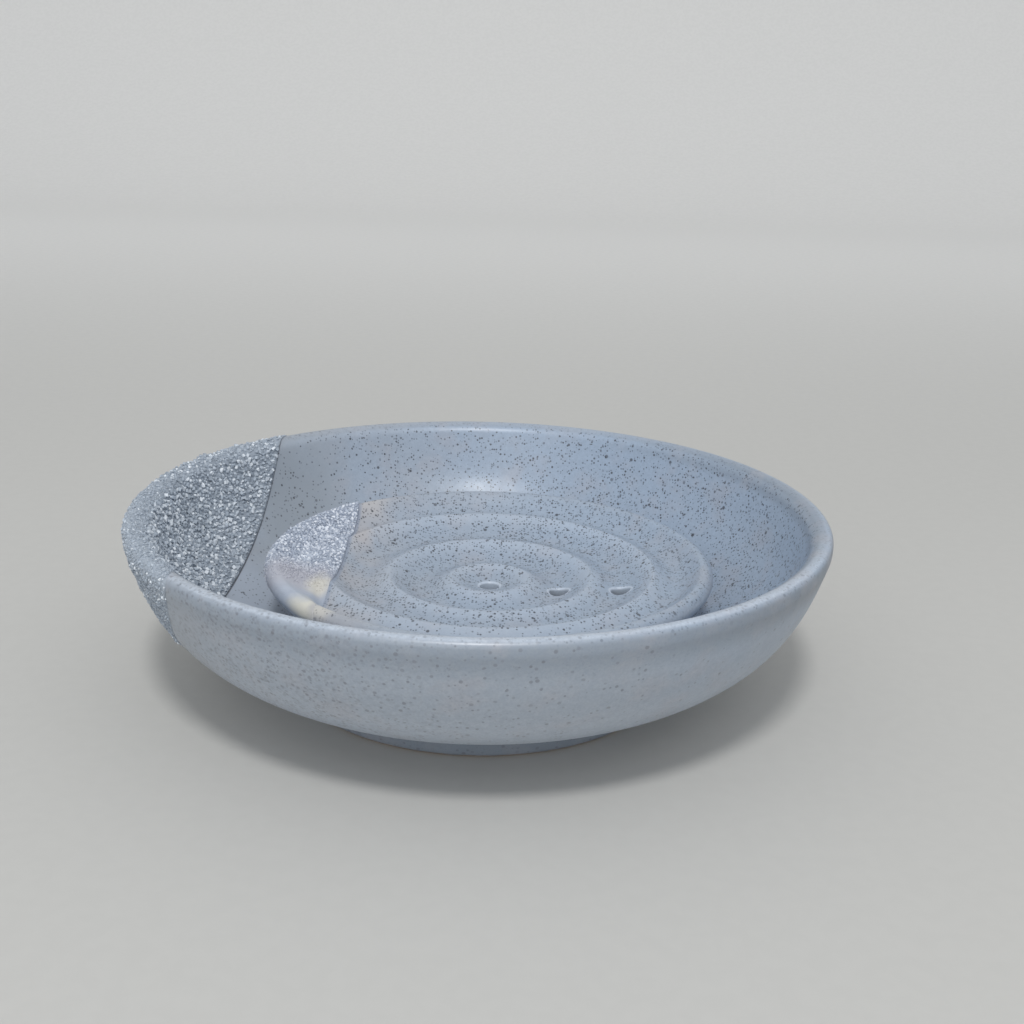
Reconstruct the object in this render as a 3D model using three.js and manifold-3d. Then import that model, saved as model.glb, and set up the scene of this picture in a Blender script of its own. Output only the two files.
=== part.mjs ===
// Soap dish in speckled stoneware: a round catch bowl and a loose drain plate that stands in it.
// Both pieces carry a patch of coarse grit, fired on up to a straight line across one side.
// Millimetres, +Z up, with the origin on the bowl's axis at the level that it stands on.

import * as THREE from "three";
import { mergeVertices } from "three/addons/utils/BufferGeometryUtils.js";
import Module from "manifold-3d";

const wasm = await Module();
wasm.setup();

// Bowl
const BOWL_DIAMETER = 130; // over the lip
const BOWL_HEIGHT = 34; // from the foot to the top of the lip
const BOWL_WALL = 4;
const BOWL_LIP_TURN = 4; // radius over which the wall turns upright under the lip
const BOWL_LIP_FACE = 0.5; // upright height of the lip
const BOWL_LIP_CORNER = 1.3; // outer radius of the lip, from its face to its top
const BOWL_FLOOR = 4; // inside the foot ring
const BOWL_FOOT_DIAMETER = 72; // where it stands
const BOWL_FOOT_WIDTH = 4.5;
const BOWL_FOOT_HEIGHT = 4.9; // where the belly leaves the foot
const BOWL_FOOT_FLARE = 1.7; // how much further out the foot is at its top
const BOWL_BELLY_RISE = 16; // degrees above level, where the belly leaves the foot
const BOWL_WALL_LEAN = 17; // degrees off plumb, just under the lip

// Drain plate
const PLATE_DIAMETER = 84.6; // over the lip
const PLATE_HEIGHT = 15; // from its foot to the top of the lip
const PLATE_LIP = 3.6; // thickness of the rounded lip
const PLATE_DISH = 4.8; // how much the middle lies below the lip
const PLATE_FLOOR = 4; // least thickness, under the grooves
const PLATE_FOOT_DIAMETER = 63;
const PLATE_FOOT_WIDTH = 3.5;
const PLATE_BELLY_RISE = 16; // degrees above level, where the wall leaves the foot
const PLATE_WALL_LEAN = 28; // degrees off plumb, just under the lip
const PLATE_SHIFT = 1.9; // sideways from the bowl's axis, as the loose plate lies

// Rings and drain holes of the plate
const RING_COUNT = 3;
const FIRST_RING_RADIUS = 7.6; // crest of the innermost ring
const RING_SPACING = 11.75; // from crest to crest
const RING_DEPTH = 1.7; // from a crest down to the groove beside it
const RING_FORM = 1.4; // 1 for sharp crests between round grooves, 2 for an even wave
const CENTRE_DIP = 2; // from the innermost crest down to the middle
const HOLE_DIAMETER = 4;
const HOLE_ROW_ANGLE = -9; // degrees from +X

// Fired-on grit
const BOWL_GRIT_THICKNESS = 0.7;
const BOWL_GRIT_DISTANCE = 46.8; // from the bowl's axis to the straight edge, at the lip
const BOWL_GRIT_ANGLE = 178.7; // degrees from +X, square to the straight edge
const BOWL_GRIT_TILT = 6.5; // degrees that the edge leans in over the bowl
const PLATE_GRIT_THICKNESS = 0.4; // finer than on the bowl
const PLATE_GRIT_DISTANCE = 28.8;
const PLATE_GRIT_ANGLE = 180;
const PLATE_GRIT_TILT = 0;

// Clearances
const SEAT_GAP = 0.3; // between the plate's foot and the bowl's floor
const GRIT_GAP = 0.3; // between the grit and the glaze under it
const CUT_MARGIN = 2; // how far a hole's cut runs past the plate

// Fineness
const TURN_STEPS = 60;
const WALL_STEPS = 9;
const LIP_STEPS = 6;
const CORNER_STEPS = 4; // for the outer corner and the lower turn of the bowl's lip
const WAVE_STEPS = 7; // from crest to crest
const HOLE_STEPS = 20;

const GLAZE = { color: 0x98a2b3, roughness: 0.45 };
const GRIT = { color: 0xb4bed0, roughness: 0.55 };

const point = (x, y) => new THREE.Vector2(x, y);
const radians = THREE.MathUtils.degToRad;

// Solids

function toSolid(geometry) {
  const bare = geometry.clone();
  bare.deleteAttribute("normal");
  bare.deleteAttribute("uv");
  const merged = mergeVertices(bare);
  const vertProperties = merged.attributes.position.array;
  const triVerts = new Uint32Array(merged.index.array);
  return new wasm.Manifold(new wasm.Mesh({ numProp: 3, vertProperties, triVerts }));
}

function toGeometry(solid) {
  const { vertProperties, triVerts } = solid.getMesh();
  const geometry = new THREE.BufferGeometry();
  geometry.setAttribute("position", new THREE.BufferAttribute(vertProperties, 3));
  geometry.setIndex(new THREE.BufferAttribute(triVerts, 1));
  geometry.computeVertexNormals();
  return geometry;
}

// Turns an outline of (radius, height) points about +Z.
function turn(outline) {
  return new THREE.LatheGeometry(outline, TURN_STEPS).rotateX(Math.PI / 2);
}

// What lies beyond a leaning straight edge, as one block. The distance from the axis is at the height given.
function beyondEdge({ distance, angle, tilt }, height) {
  const size = 2 * BOWL_DIAMETER;
  const block = new THREE.BoxGeometry(size, size, size).translate(size / 2, 0, 0);
  block.rotateY(radians(-tilt)).translate(distance, 0, height);
  return toSolid(block.rotateZ(radians(angle)));
}

// Outlines

// Moves an open outline sideways, to the right of the way it runs.
function moveSideways(outline, distance) {
  return outline.map((here, i) => {
    const before = outline[Math.max(i - 1, 0)];
    const after = outline[Math.min(i + 1, outline.length - 1)];
    const along = after.clone().sub(before).normalize();
    return point(here.x + distance * along.y, here.y - distance * along.x);
  });
}

function onCircle(centre, radius, angle) {
  return point(centre.x + radius * Math.cos(angle), centre.y + radius * Math.sin(angle));
}

function arc(centre, radius, from, to, steps) {
  return Array.from({ length: steps + 1 }, (_, i) => {
    return onCircle(centre, radius, THREE.MathUtils.lerp(from, to, i / steps));
  });
}

// The outside of a wall: it leaves its foot at one slope, turns up and reaches its lip at another.
function wallOutside(start, end, rise, lean) {
  const climb = Math.tan(radians(rise));
  const drift = Math.tan(radians(lean));
  const cornerRise = (climb * (end.x - start.x - drift * (end.y - start.y))) / (1 - climb * drift);
  const corner = point(start.x + cornerRise / climb, start.y + cornerRise);
  const upper = corner.clone().lerp(end, 0.5);
  return new THREE.CubicBezierCurve(start, corner, upper, end).getPoints(WALL_STEPS);
}

// Bowl

const bowlRadius = BOWL_DIAMETER / 2;
const bowlFootRadius = BOWL_FOOT_DIAMETER / 2;
const bowlLean = radians(BOWL_WALL_LEAN);
const bowlLipCorner = point(bowlRadius - BOWL_LIP_CORNER, BOWL_HEIGHT - BOWL_LIP_CORNER);
const bowlLipTurn = point(bowlRadius - BOWL_LIP_TURN, bowlLipCorner.y - BOWL_LIP_FACE);

const bowlOutside = wallOutside(
  point(bowlFootRadius + BOWL_FOOT_FLARE, BOWL_FOOT_HEIGHT),
  onCircle(bowlLipTurn, BOWL_LIP_TURN, -bowlLean),
  BOWL_BELLY_RISE,
  BOWL_WALL_LEAN,
);
const bowlInside = moveSideways(bowlOutside, -BOWL_WALL).reverse();
const bowlFloorTop = bowlInside.at(-1).y;

// From its top the lip rounds over until it meets the line of the inside.
const bowlLipTop = point(bowlLipCorner.x, BOWL_HEIGHT).sub(bowlInside[0]);
const bowlLipReach = bowlLipTop.x * Math.cos(bowlLean) - bowlLipTop.y * Math.sin(bowlLean);
const bowlLipRound = bowlLipReach / (1 - Math.sin(bowlLean));
const bowlLipInner = point(bowlLipCorner.x, BOWL_HEIGHT - bowlLipRound);
const bowlLipEnd = onCircle(bowlLipInner, bowlLipRound, Math.PI - bowlLean);

// The height at which a ring of this radius comes to stand inside the bowl, on its floor or its wall.
function bowlSeatHeight(radius) {
  const outer = bowlInside.findLastIndex((place) => place.x >= radius);
  if (outer === bowlInside.length - 1) {
    return bowlFloorTop;
  }
  const [above, below] = bowlInside.slice(outer);
  return THREE.MathUtils.mapLinear(radius, below.x, above.x, below.y, above.y);
}

// The bowl's wall from the foot, over the lip and down to the floor, at a distance from its surface.
function bowlSkin(distance) {
  return [
    ...moveSideways(bowlOutside, distance).slice(0, -1),
    ...arc(bowlLipTurn, BOWL_LIP_TURN + distance, -bowlLean, 0, CORNER_STEPS),
    ...arc(bowlLipCorner, BOWL_LIP_CORNER + distance, 0, Math.PI / 2, CORNER_STEPS),
    ...arc(bowlLipInner, bowlLipRound + distance, Math.PI / 2, Math.PI - bowlLean, LIP_STEPS).slice(1),
    ...moveSideways(bowlInside, distance).filter((_, i) => bowlInside[i].y < bowlLipEnd.y),
  ];
}

function bowlGeometry() {
  const footInside = bowlFootRadius - BOWL_FOOT_WIDTH;
  const floorUnderside = bowlFloorTop - BOWL_FLOOR;
  return turn([
    point(0, floorUnderside),
    point(footInside, floorUnderside),
    point(footInside, 0),
    point(bowlFootRadius, 0),
    ...bowlSkin(0),
    point(0, bowlFloorTop),
  ]);
}

// Drain plate, with its own zero height at the underside of its foot

const plateLipRadius = PLATE_LIP / 2;
const plateLipCentre = point(PLATE_DIAMETER / 2 - plateLipRadius, PLATE_HEIGHT - plateLipRadius);
const plateFootRadius = PLATE_FOOT_DIAMETER / 2;
const plateLean = radians(PLATE_WALL_LEAN);

// The lip rolls over until it has the slope of the dish that it meets.
const dishSlope = Math.atan((2 * PLATE_DISH) / plateLipCentre.x);
const plateLip = arc(plateLipCentre, plateLipRadius, -plateLean, Math.PI / 2 + dishSlope, LIP_STEPS);
const rimCrest = plateLip.at(-1);

// Height of the dish that the crests of the rings touch.
const dishHeight = (radius) => rimCrest.y - PLATE_DISH * (1 - (radius / rimCrest.x) ** 2);
const dishUnderside = (radius) => dishHeight(radius) - RING_DEPTH - PLATE_FLOOR;

const ringRadii = Array.from({ length: RING_COUNT }, (_, i) => FIRST_RING_RADIUS + i * RING_SPACING);
const crestRadii = [...ringRadii, rimCrest.x];

// From one crest inwards to the next, down through the groove between them.
function grooveOutline(outer, inner) {
  return Array.from({ length: WAVE_STEPS }, (_, i) => {
    const share = (i + 1) / WAVE_STEPS;
    const radius = THREE.MathUtils.lerp(outer, inner, share);
    return point(radius, dishHeight(radius) - RING_DEPTH * Math.sin(Math.PI * share) ** RING_FORM);
  });
}

// From the innermost crest down to the middle.
function centreOutline() {
  return Array.from({ length: WAVE_STEPS }, (_, i) => {
    const share = (i + 1) / WAVE_STEPS;
    const radius = FIRST_RING_RADIUS * (1 - share);
    const dip = CENTRE_DIP * Math.sin((Math.PI / 2) * share) ** RING_FORM;
    return point(radius, dishHeight(FIRST_RING_RADIUS) - dip);
  });
}

const plateOutside = wallOutside(
  point(plateFootRadius, dishUnderside(plateFootRadius)),
  plateLip[0],
  PLATE_BELLY_RISE,
  PLATE_WALL_LEAN,
);
const plateGrooves = crestRadii.slice(1).map((outer, i) => grooveOutline(outer, crestRadii[i]));
const plateTop = [...plateGrooves.toReversed().flat(), ...centreOutline()];
const plateOutline = [...plateOutside.slice(0, -1), ...plateLip, ...plateTop];

// A drain hole in the middle and one in each groove between the rings.
const grooveRadii = ringRadii.slice(1).map((radius) => radius - RING_SPACING / 2);
const holePlaces = [
  point(0, dishHeight(FIRST_RING_RADIUS) - CENTRE_DIP),
  ...grooveRadii.map((radius) => point(radius, dishHeight(radius) - RING_DEPTH)),
];

// The cut for one drain hole, right through the plate.
function holeCut({ x: radius, y: height }) {
  const depth = height + 2 * CUT_MARGIN;
  const cut = new THREE.CylinderGeometry(HOLE_DIAMETER / 2, HOLE_DIAMETER / 2, depth, HOLE_STEPS);
  cut.rotateX(Math.PI / 2).translate(radius, 0, height / 2);
  return toSolid(cut.rotateZ(radians(HOLE_ROW_ANGLE)));
}

function plateGeometry() {
  const footInside = plateFootRadius - PLATE_FOOT_WIDTH;
  const underside = Array.from({ length: WALL_STEPS }, (_, i) => {
    const radius = (footInside * i) / (WALL_STEPS - 1);
    return point(radius, dishUnderside(radius));
  });
  const blank = turn([...underside, point(footInside, 0), point(plateFootRadius, 0), ...plateOutline]);
  const drained = holePlaces.reduce((solid, place) => solid.subtract(holeCut(place)), toSolid(blank));
  return toGeometry(drained);
}

// Grit

// A layer between two outlines, kept only beyond a straight edge.
function gritGeometry(over, under, edge) {
  const layer = turn([...over, ...under.toReversed(), over[0]]);
  return toGeometry(toSolid(layer).intersect(edge));
}

function bowlGritGeometry() {
  const edge = { distance: BOWL_GRIT_DISTANCE, angle: BOWL_GRIT_ANGLE, tilt: BOWL_GRIT_TILT };
  const over = bowlSkin(GRIT_GAP + BOWL_GRIT_THICKNESS);
  return gritGeometry(over, bowlSkin(GRIT_GAP), beyondEdge(edge, BOWL_HEIGHT));
}

function plateGritGeometry() {
  const edge = { distance: PLATE_GRIT_DISTANCE, angle: PLATE_GRIT_ANGLE, tilt: PLATE_GRIT_TILT };
  const over = moveSideways(plateOutline, GRIT_GAP + PLATE_GRIT_THICKNESS);
  const under = moveSideways(plateOutline, GRIT_GAP);
  // The grit stops one step of the wall short of the foot.
  return gritGeometry(over.slice(1), under.slice(1), beyondEdge(edge, PLATE_HEIGHT));
}

// Assembly

function piece(name, geometry, finish) {
  const mesh = new THREE.Mesh(geometry, new THREE.MeshStandardMaterial(finish));
  mesh.name = name;
  return mesh;
}

const plate = new THREE.Group();
plate.add(piece("drain_plate", plateGeometry(), GLAZE));
plate.add(piece("plate_grit", plateGritGeometry(), GRIT));
plate.position.set(PLATE_SHIFT, 0, bowlSeatHeight(plateFootRadius + PLATE_SHIFT) + SEAT_GAP);

const soapDish = new THREE.Group();
soapDish.add(piece("bowl", bowlGeometry(), GLAZE));
soapDish.add(piece("bowl_grit", bowlGritGeometry(), GRIT));
soapDish.add(plate);

export default soapDish;
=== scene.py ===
"""Speckled stoneware soap dish: a round catch bowl and the loose drain plate that stands in it.

Both pots carry a patch of coarse grit, fired on up to a straight edge across one side. Metres, +Z up, with the
origin on the bowl's axis at the level that it stands on.
"""

import logging
import math
import random
from collections.abc import Callable, Iterator
from dataclasses import dataclass, field
from enum import Enum
from itertools import product

import bmesh
import bpy
from mathutils import Euler, Matrix, Vector, noise
from mathutils.geometry import interpolate_bezier


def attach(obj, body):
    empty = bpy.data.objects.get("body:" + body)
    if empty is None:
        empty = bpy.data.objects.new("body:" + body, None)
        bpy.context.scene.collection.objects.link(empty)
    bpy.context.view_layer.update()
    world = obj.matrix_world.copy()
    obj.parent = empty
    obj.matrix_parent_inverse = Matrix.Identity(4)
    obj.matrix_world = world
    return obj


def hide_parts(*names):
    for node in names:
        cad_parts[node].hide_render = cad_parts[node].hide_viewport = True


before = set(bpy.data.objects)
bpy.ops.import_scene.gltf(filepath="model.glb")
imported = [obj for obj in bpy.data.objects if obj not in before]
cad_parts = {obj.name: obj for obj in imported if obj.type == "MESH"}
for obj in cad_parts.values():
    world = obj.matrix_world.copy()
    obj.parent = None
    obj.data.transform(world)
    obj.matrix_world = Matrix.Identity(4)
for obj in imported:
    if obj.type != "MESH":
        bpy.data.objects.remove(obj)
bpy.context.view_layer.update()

log = logging.getLogger("soap_dish")

MM = 0.001
RIGHT = Vector((1.0, 0.0, 0.0))
BACK = Vector((0.0, 1.0, 0.0))
UP = Vector((0.0, 0.0, 1.0))
PICTURE_WIDTH = 1024

Outline = list[Vector]
Colour = tuple[float, float, float, float]


class Body(Enum):
    """The bodies that pieces ride on."""

    BOWL = "catch_bowl"
    PLATE = "plate"


class Slot(Enum):
    """The material slots of the record."""

    GLAZE = "glaze"
    GRIT = "grit"


class Trace(Enum):
    """The values that a mesh carries for its finish."""

    OUTSIDE = "outside"
    SHADE = "shade"


def srgb(code: str) -> Colour:
    """Turns a colour as it looks on a screen into a linear one.

    Args:
        code: Six hexadecimal digits, red first.

    Returns:
        The linear colour, with an alpha of 1.
    """
    shares = [int(code[i : i + 2], 16) / 255 for i in (0, 2, 4)]
    red, green, blue = (s / 12.92 if s <= 0.04045 else ((s + 0.055) / 1.055) ** 2.4 for s in shares)
    return (red, green, blue, 1.0)


def eased(value: float, start: float, end: float) -> float:
    """Rises smoothly from 0 at start to 1 at end.

    Args:
        value: Where to look.
        start: The value that gives 0.
        end: The value that gives 1.

    Returns:
        A share from 0 to 1.
    """
    share = min(max((value - start) / (end - start), 0.0), 1.0)
    return share * share * (3 - 2 * share)


def on_circle(centre: Vector, radius: float, angle: float) -> Vector:
    """Gives the point of a circle at an angle in radians."""
    return centre + radius * Vector((math.cos(angle), math.sin(angle)))


def arc(centre: Vector, radius: float, start: float, end: float, steps: int) -> Outline:
    """Gives points along part of a circle.

    Args:
        centre: Its middle, as radius and height.
        radius: Its own radius.
        start: First angle in radians.
        end: Last angle in radians.
        steps: How many steps lie between them.

    Returns:
        The points, both ends among them.
    """
    return [on_circle(centre, radius, start + (end - start) * i / steps) for i in range(steps + 1)]


def moved_sideways(outline: Outline, distance: float) -> Outline:
    """Moves an open outline to the right of the way it runs.

    Args:
        outline: Points as radius and height.
        distance: How far, in metres.

    Returns:
        The moved outline.
    """
    moved = []
    for i, here in enumerate(outline):
        along = (outline[min(i + 1, len(outline) - 1)] - outline[max(i - 1, 0)]).normalized()
        moved.append(here + distance * Vector((along.y, -along.x)))
    return moved


def wall_outside(start: Vector, end: Vector, rise: float, lean: float, steps: int) -> Outline:
    """Draws the outside of a wall, which leaves its foot at one slope and reaches its lip at another.

    Args:
        start: Where it leaves the foot.
        end: Where it meets the lip.
        rise: Degrees above level at the start.
        lean: Degrees off plumb at the end.
        steps: How many steps to draw.

    Returns:
        The wall's points from foot to lip.
    """
    climb = math.tan(math.radians(rise))
    drift = math.tan(math.radians(lean))
    span = end - start
    corner_rise = climb * (span.x - drift * span.y) / (1 - climb * drift)
    corner = start + Vector((corner_rise / climb, corner_rise))
    return [p.to_2d() for p in interpolate_bezier(start, corner, corner.lerp(end, 0.5), end, steps + 1)]


def in_steps(start: Vector, end: Vector, steps: int) -> Outline:
    """Gives the points of a straight run, without its first one."""
    return [start.lerp(end, (i + 1) / steps) for i in range(steps)]


def everything(shape: bmesh.types.BMesh) -> list[bmesh.types.BMVert | bmesh.types.BMEdge | bmesh.types.BMFace]:
    """Lists all vertices, edges and faces of a shape."""
    return [*shape.verts, *shape.edges, *shape.faces]


@dataclass(frozen=True)
class Wheel:
    """The wheel that a pot is turned on.

    Attributes:
        centre: The foot of its upright axis.
        steps: How many steps make a full turn.
    """

    centre: Vector
    steps: int

    def place(self, point: Vector, angle: float) -> Vector:
        """Finds the place of an outline's point at an angle.

        Args:
            point: Radius and height over the foot.
            angle: Radians about the axis.

        Returns:
            The place in the dish's frame.
        """
        return self.centre + Vector((point.x * math.cos(angle), point.x * math.sin(angle), point.y))

    def radius_of(self, place: Vector) -> float:
        """Gives a place's distance from the axis."""
        return (place - self.centre).to_2d().length

    def throw(self, outline: Outline, closed: bool) -> bmesh.types.BMesh:
        """Turns an outline all the way round.

        Args:
            outline: Points as radius and height over the foot.
            closed: Whether its last point joins its first one.

        Returns:
            The closed shape, with faces that point outwards.
        """
        shape = self.sweep(outline, 0.0, math.tau, self.steps, closed)
        bmesh.ops.remove_doubles(shape, verts=shape.verts, dist=0.001 * MM)
        bmesh.ops.recalc_face_normals(shape, faces=shape.faces)
        return shape

    def sweep(
        self, outline: Outline, start: float, end: float, steps: int, closed: bool = False
    ) -> bmesh.types.BMesh:
        """Turns an outline through part of a turn.

        Args:
            outline: Points as radius and height over the foot.
            start: First angle in radians.
            end: Last angle in radians.
            steps: How many steps lie between them.
            closed: Whether the outline's last point joins its first one.

        Returns:
            The turned sheet.
        """
        shape = bmesh.new()
        points = [shape.verts.new(self.place(point, start)) for point in outline]
        edges = [shape.edges.new(pair) for pair in zip(points, points[1:])]
        if closed:
            edges.append(shape.edges.new((points[-1], points[0])))
        bmesh.ops.spin(
            shape,
            geom=[*points, *edges],
            cent=self.centre,
            axis=UP,
            dvec=(0, 0, 0),
            angle=end - start,
            steps=steps,
            use_merge=math.isclose(end - start, math.tau),
            use_duplicate=False,
        )
        return shape

    def round_off(self, shape: bmesh.types.BMesh, corner: Vector, size: float) -> None:
        """Rounds the ring-shaped edge at one corner of an outline.

        Args:
            shape: The turned shape.
            corner: The corner's radius and height.
            size: How far the rounding reaches.
        """
        ring = {
            v
            for v in shape.verts
            if abs(self.radius_of(v.co) - corner.x) < 0.01 * MM
            and abs(v.co.z - self.centre.z - corner.y) < 0.01 * MM
        }
        edges = [e for e in shape.edges if e.verts[0] in ring and e.verts[1] in ring]
        bmesh.ops.bevel(
            shape, geom=edges, offset=size, segments=4, profile=0.5, affect="EDGES", material=-1, clamp_overlap=True
        )


@dataclass(frozen=True)
class StraightEdge:
    """The leaning straight line across a pot, beyond which grit is fired on.

    Attributes:
        wheel: The wheel of the pot.
        distance: From the pot's axis, at the height given.
        angle: Degrees from +X, square to the edge.
        tilt: Degrees that the edge leans in over the pot.
        height: Over the foot of the wheel's axis.
        bend_from: How far back the edge starts to bend over the pot.
        bend_rate: How fast it bends from there, in metres for each square metre.
    """

    wheel: Wheel
    distance: float
    angle: float
    tilt: float
    height: float
    bend_from: float = 0.0
    bend_rate: float = 0.0

    @property
    def origin(self) -> Vector:
        """A point on the edge."""
        return self.wheel.place(Vector((self.distance, self.height)), math.radians(self.angle))

    @property
    def normal(self) -> Vector:
        """The way to the gritty side."""
        turn, tilt = math.radians(self.angle), math.radians(self.tilt)
        return Vector((math.cos(turn) * math.cos(tilt), math.sin(turn) * math.cos(tilt), math.sin(tilt)))

    def bend(self, place: Vector) -> float:
        """Tells how far the edge has bent at a place, in metres."""
        return self.bend_rate * max(place.y - self.bend_from, 0.0) ** 2

    def beyond(self, place: Vector) -> float:
        """Tells how far a place lies beyond the edge, in metres."""
        return self.normal.dot(place - self.origin) + self.bend(place)

    def cut(self, shape: bmesh.types.BMesh) -> None:
        """Takes away the part of a sheet that lies short of the edge.

        Args:
            shape: The sheet.
        """
        for vert in shape.verts:
            vert.co.x -= self.bend(vert.co)
        bmesh.ops.bisect_plane(
            shape,
            geom=everything(shape),
            dist=0.001 * MM,
            plane_co=self.origin,
            plane_no=self.normal,
            clear_inner=True,
        )
        for vert in shape.verts:
            vert.co.x += self.bend(vert.co)


@dataclass(frozen=True)
class Blush:
    """A soft patch of another tone.

    Attributes:
        centre: Its middle.
        scale: How much each direction counts.
        reach: Where it has faded out.
        tone: Its colour.
    """

    centre: Vector
    scale: Vector
    reach: float
    tone: Colour


@dataclass(frozen=True)
class Specks:
    """One kind of small round grain in the body, which the surface cuts as specks.

    Attributes:
        spacing: From grain to grain, in metres.
        smallest: The least radius of a grain, in metres.
        largest: The greatest radius of a grain, in metres.
        seed: A shift that gives another scatter.
    """

    spacing: float
    smallest: float
    largest: float
    seed: tuple[float, float, float] = (0.0, 0.0, 0.0)


class Wire:
    """A number on its way through a node tree. Its operators add Math nodes."""

    def __init__(self, shading: "Shading", socket: bpy.types.NodeSocket) -> None:
        """Wraps one output socket.

        Args:
            shading: The tree that it belongs to.
            socket: The output that gives the number.
        """
        self.shading = shading
        self.socket = socket

    def also(self, output: str) -> "Wire":
        """Gives another output of the same node."""
        return Wire(self.shading, self.socket.node.outputs[output])

    def __add__(self, other: "Signal") -> "Wire":
        """Adds."""
        return self.shading.math("ADD", self, other)

    def __radd__(self, other: "Signal") -> "Wire":
        """Adds, from the right."""
        return self.shading.math("ADD", other, self)

    def __sub__(self, other: "Signal") -> "Wire":
        """Subtracts."""
        return self.shading.math("SUBTRACT", self, other)

    def __rsub__(self, other: "Signal") -> "Wire":
        """Subtracts, from the right."""
        return self.shading.math("SUBTRACT", other, self)

    def __mul__(self, other: "Signal") -> "Wire":
        """Multiplies."""
        return self.shading.math("MULTIPLY", self, other)

    def __rmul__(self, other: "Signal") -> "Wire":
        """Multiplies, from the right."""
        return self.shading.math("MULTIPLY", other, self)

    def __pow__(self, other: "Signal") -> "Wire":
        """Raises to a power."""
        return self.shading.math("POWER", self, other)

    def __abs__(self) -> "Wire":
        """Drops the sign."""
        return self.shading.math("ABSOLUTE", self)


Signal = Wire | float
Paint = Wire | Colour


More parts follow.
